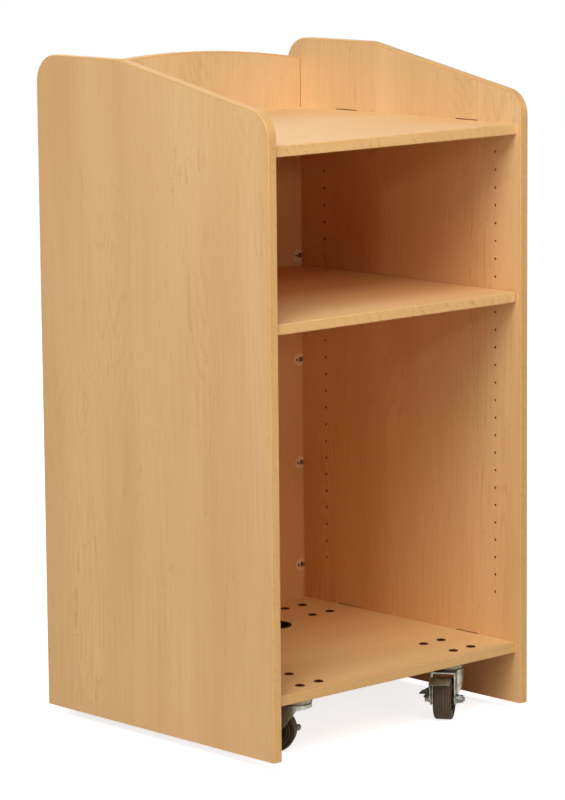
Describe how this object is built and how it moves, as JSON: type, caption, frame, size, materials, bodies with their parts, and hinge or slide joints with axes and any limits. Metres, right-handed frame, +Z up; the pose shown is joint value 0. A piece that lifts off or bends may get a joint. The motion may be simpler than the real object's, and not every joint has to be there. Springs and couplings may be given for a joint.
{
  "type": "lectern",
  "caption": "Mobile lectern cabinet with sloped side wings, an arched back panel, a fixed desk, an adjustable shelf, a bottom shelf with a cord hole, and braked swivel casters.",
  "frame": {"origin": "on the floor, midway across the width and the depth", "axes": "+Z up, +Y towards the back panel that faces the audience, -Y towards the open side where the presenter stands, +X to the presenter's right"},
  "size_m": [0.624, 0.606, 1.195],
  "materials": {
    "maple_board": "satin maple-grained laminate",
    "edge_band": "satin, rounded edge band",
    "hardwood": "plain",
    "zinc_plate": "satin zinc plating",
    "plain_steel": "plain",
    "bronze_finish": "dark bronze plating",
    "ivory_plastic": "matt",
    "black_plastic": "matt",
    "hub_plastic": "matt",
    "grey_tyre": "matt"
  },
  "bodies": {
    "cabinet": {"side_panel_left": "maple_board", "side_panel_right": "maple_board", "side_band_left": "edge_band", "side_band_right": "edge_band", "back_panel": "maple_board", "back_band": "edge_band", "desk_top": "maple_board", "desk_band": "edge_band", "bottom_shelf": "maple_board", "bottom_band": "edge_band", "shelf_wires": "plain_steel", "support_tongues": "hardwood", "connector_housings": "ivory_plastic", "connector_clamps": "zinc_plate", "connector_screws": "plain_steel", "connector_bolts": "plain_steel", "cord_grommet": "black_plastic", "caster_bolts": "bronze_finish", "caster_nuts": "zinc_plate", "kingpins": "plain_steel", "raceway_balls": "plain_steel", "caster_plate_front_left": "zinc_plate", "caster_plate_front_right": "zinc_plate", "caster_plate_rear_left": "zinc_plate", "caster_plate_rear_right": "zinc_plate"},
    "shelf": {"adjustable_shelf": "maple_board", "shelf_band": "edge_band"},
    "fork_front_left": {"fork_front_left": "zinc_plate", "axle_bolt_front_left": "zinc_plate", "axle_sleeve_front_left": "plain_steel", "brake_rivet_front_left": "plain_steel"},
    "wheel_front_left": {"wheel_hub_front_left": "hub_plastic", "tyre_front_left": "grey_tyre"},
    "brake_front_left": {"brake_lever_front_left": "zinc_plate", "brake_tabs_front_left": "black_plastic"},
    "fork_front_right": {"fork_front_right": "zinc_plate", "axle_bolt_front_right": "zinc_plate", "axle_sleeve_front_right": "plain_steel", "brake_rivet_front_right": "plain_steel"},
    "wheel_front_right": {"wheel_hub_front_right": "hub_plastic", "tyre_front_right": "grey_tyre"},
    "brake_front_right": {"brake_lever_front_right": "zinc_plate", "brake_tabs_front_right": "black_plastic"},
    "fork_rear_left": {"fork_rear_left": "zinc_plate", "axle_bolt_rear_left": "zinc_plate", "axle_sleeve_rear_left": "plain_steel", "brake_rivet_rear_left": "plain_steel"},
    "wheel_rear_left": {"wheel_hub_rear_left": "hub_plastic", "tyre_rear_left": "grey_tyre"},
    "brake_rear_left": {"brake_lever_rear_left": "zinc_plate", "brake_tabs_rear_left": "black_plastic"},
    "fork_rear_right": {"fork_rear_right": "zinc_plate", "axle_bolt_rear_right": "zinc_plate", "axle_sleeve_rear_right": "plain_steel", "brake_rivet_rear_right": "plain_steel"},
    "wheel_rear_right": {"wheel_hub_rear_right": "hub_plastic", "tyre_rear_right": "grey_tyre"},
    "brake_rear_right": {"brake_lever_rear_right": "zinc_plate", "brake_tabs_rear_right": "black_plastic"}
  },
  "joints": [
    {"name": "shelf_slide", "type": "slide", "parent": "cabinet", "child": "shelf", "axis": [0, -1, 0], "range_m": [0, 0.4]},
    {"name": "swivel_front_left", "type": "hinge", "parent": "cabinet", "child": "fork_front_left", "pos_m": [-0.188, -0.222, 0.0845], "axis": [0, 0, 1], "continuous": true},
    {"name": "wheel_spin_front_left", "type": "hinge", "parent": "fork_front_left", "child": "wheel_front_left", "pos_m": [-0.20955, -0.19442, 0.0375], "axis": [-0.788, -0.6157, 0], "continuous": true},
    {"name": "brake_swing_front_left", "type": "hinge", "parent": "fork_front_left", "child": "brake_front_left", "pos_m": [-0.18446, -0.18877, 0.05], "axis": [-0.788, -0.6157, 0], "range_deg": [0, 6]},
    {"name": "swivel_front_right", "type": "hinge", "parent": "cabinet", "child": "fork_front_right", "pos_m": [0.188, -0.222, 0.0845], "axis": [0, 0, 1], "continuous": true},
    {"name": "wheel_spin_front_right", "type": "hinge", "parent": "fork_front_right", "child": "wheel_front_right", "pos_m": [0.15968, -0.24257, 0.0375], "axis": [0.5878, -0.809, 0], "continuous": true},
    {"name": "brake_swing_front_right", "type": "hinge", "parent": "fork_front_right", "child": "brake_front_right", "pos_m": [0.15492, -0.2173, 0.05], "axis": [0.5878, -0.809, 0], "range_deg": [0, 6]},
    {"name": "swivel_rear_left", "type": "hinge", "parent": "cabinet", "child": "fork_rear_left", "pos_m": [-0.212, 0.172, 0.0845], "axis": [0, 0, 1], "continuous": true},
    {"name": "wheel_spin_rear_left", "type": "hinge", "parent": "fork_rear_left", "child": "wheel_rear_left", "pos_m": [-0.24489, 0.18397, 0.0375], "axis": [-0.342, -0.9397, 0], "continuous": true},
    {"name": "brake_swing_rear_left", "type": "hinge", "parent": "fork_rear_left", "child": "brake_rear_left", "pos_m": [-0.2266, 0.20206, 0.05], "axis": [-0.342, -0.9397, 0], "range_deg": [0, 6]},
    {"name": "swivel_rear_right", "type": "hinge", "parent": "cabinet", "child": "fork_rear_right", "pos_m": [0.212, 0.172, 0.0845], "axis": [0, 0, 1], "continuous": true},
    {"name": "wheel_spin_rear_right", "type": "hinge", "parent": "fork_rear_right", "child": "wheel_rear_right", "pos_m": [0.23881, 0.1945, 0.0375], "axis": [-0.6428, 0.766, 0], "continuous": true},
    {"name": "brake_swing_rear_right", "type": "hinge", "parent": "fork_rear_right", "child": "brake_rear_right", "pos_m": [0.24533, 0.16962, 0.05], "axis": [-0.6428, 0.766, 0], "range_deg": [0, 6]}
  ]
}
